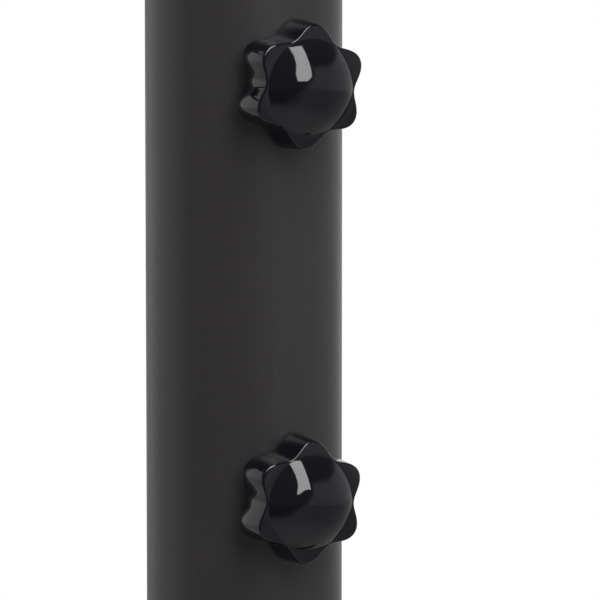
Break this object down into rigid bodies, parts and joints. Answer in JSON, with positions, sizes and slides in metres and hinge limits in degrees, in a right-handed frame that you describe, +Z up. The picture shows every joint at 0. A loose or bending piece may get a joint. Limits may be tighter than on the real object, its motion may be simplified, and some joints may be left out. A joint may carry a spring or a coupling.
{
  "type": "power tower",
  "caption": "Free-standing pull-up, dip and knee-raise tower: round uprights on floor skids carry a height-adjustable upper frame clamped by star knobs.",
  "frame": {"origin": "on the floor, under the middle of the bounding box", "axes": "+Z up, -Y to the front where the user stands, +X to the user's left as they stand with their back to the backrest"},
  "size_m": [1.0878, 1.024, 2.123],
  "materials": {
    "powder_coat": "satin charcoal powder coat with a very fine grain",
    "moulded_plastic": "matt black injection-moulded",
    "sole_rubber": "matt ribbed rubber",
    "bearing_plastic": "smooth black acetal",
    "knob_plastic": "polished black",
    "zinc_steel": "bright zinc plate",
    "nylon": "natural nylon",
    "plywood": "sealed birch plywood",
    "vinyl": "fine-grained black vinyl",
    "grip_foam": "matt closed-cell foam"
  },
  "bodies": {
    "base_frame": {"left_floor_skid": "powder_coat", "right_floor_skid": "powder_coat", "front_left_foot": "moulded_plastic", "front_right_foot": "moulded_plastic", "rear_left_foot": "moulded_plastic", "rear_right_foot": "moulded_plastic", "foot_soles": "sole_rubber", "base_crossbar": "powder_coat", "left_upright": "powder_coat", "right_upright": "powder_coat", "left_bushing": "bearing_plastic", "right_bushing": "bearing_plastic", "clamp_inserts": "zinc_steel", "left_push_up_handle": "powder_coat", "right_push_up_handle": "powder_coat", "left_push_up_grip": "grip_foam", "right_push_up_grip": "grip_foam", "base_bolts": "zinc_steel", "base_nuts": "zinc_steel"},
    "upper_frame": {"left_inner_post": "powder_coat", "right_inner_post": "powder_coat", "left_slider_collar": "bearing_plastic", "right_slider_collar": "bearing_plastic", "upper_back_crossbar": "powder_coat", "lower_back_crossbar": "powder_coat", "crossbar_plugs": "moulded_plastic", "saddle_spacers": "moulded_plastic", "back_board": "plywood", "back_cushion": "vinyl", "left_dip_arm": "powder_coat", "right_dip_arm": "powder_coat", "left_arm_board": "plywood", "right_arm_board": "plywood", "left_arm_cushion": "vinyl", "right_arm_cushion": "vinyl", "left_dip_grip": "grip_foam", "right_dip_grip": "grip_foam", "dip_arm_plugs": "moulded_plastic", "pull_up_bar": "powder_coat", "left_pull_up_grip": "grip_foam", "right_pull_up_grip": "grip_foam", "pull_up_bar_plugs": "moulded_plastic", "frame_bolts": "zinc_steel", "frame_nuts": "zinc_steel", "pad_screws": "zinc_steel", "pad_tnuts": "zinc_steel"},
    "left_upper_pad": {"left_upper_clamp_pad": "nylon"},
    "left_upper_screw": {"left_upper_knob": "knob_plastic", "left_upper_stud": "zinc_steel"},
    "left_lower_pad": {"left_lower_clamp_pad": "nylon"},
    "left_lower_screw": {"left_lower_knob": "knob_plastic", "left_lower_stud": "zinc_steel"},
    "right_upper_pad": {"right_upper_clamp_pad": "nylon"},
    "right_upper_screw": {"right_upper_knob": "knob_plastic", "right_upper_stud": "zinc_steel"},
    "right_lower_pad": {"right_lower_clamp_pad": "nylon"},
    "right_lower_screw": {"right_lower_knob": "knob_plastic", "right_lower_stud": "zinc_steel"}
  },
  "joints": [
    {"name": "height_slide", "type": "slide", "parent": "base_frame", "child": "upper_frame", "axis": [0, 0, 1], "range_m": [0, 0.24]},
    {"name": "left_upper_screw_travel", "type": "slide", "parent": "base_frame", "child": "left_upper_pad", "axis": [-1, 0, 0], "range_m": [0, 0.0025]},
    {"name": "left_upper_knob_turn", "type": "hinge", "parent": "left_upper_pad", "child": "left_upper_screw", "pos_m": [-0.28, 0.12, 0.9], "axis": [-1, 0, 0], "range_deg": [0, 720]},
    {"name": "left_lower_screw_travel", "type": "slide", "parent": "base_frame", "child": "left_lower_pad", "axis": [-1, 0, 0], "range_m": [0, 0.0025]},
    {"name": "left_lower_knob_turn", "type": "hinge", "parent": "left_lower_pad", "child": "left_lower_screw", "pos_m": [-0.28, 0.12, 0.775], "axis": [-1, 0, 0], "range_deg": [0, 720]},
    {"name": "right_upper_screw_travel", "type": "slide", "parent": "base_frame", "child": "right_upper_pad", "axis": [1, 0, 0], "range_m": [0, 0.0025]},
    {"name": "right_upper_knob_turn", "type": "hinge", "parent": "right_upper_pad", "child": "right_upper_screw", "pos_m": [0.28, 0.12, 0.9], "axis": [1, 0, 0], "range_deg": [0, 720]},
    {"name": "right_lower_screw_travel", "type": "slide", "parent": "base_frame", "child": "right_lower_pad", "axis": [1, 0, 0], "range_m": [0, 0.0025]},
    {"name": "right_lower_knob_turn", "type": "hinge", "parent": "right_lower_pad", "child": "right_lower_screw", "pos_m": [0.28, 0.12, 0.775], "axis": [1, 0, 0], "range_deg": [0, 720]}
  ],
  "couplings": [
    {"joint": "left_upper_screw_travel", "follows": "left_upper_knob_turn", "m_per_rad": 0.00019894},
    {"joint": "left_lower_screw_travel", "follows": "left_lower_knob_turn", "m_per_rad": 0.00019894},
    {"joint": "right_upper_screw_travel", "follows": "right_upper_knob_turn", "m_per_rad": 0.00019894},
    {"joint": "right_lower_screw_travel", "follows": "right_lower_knob_turn", "m_per_rad": 0.00019894}
  ]
}
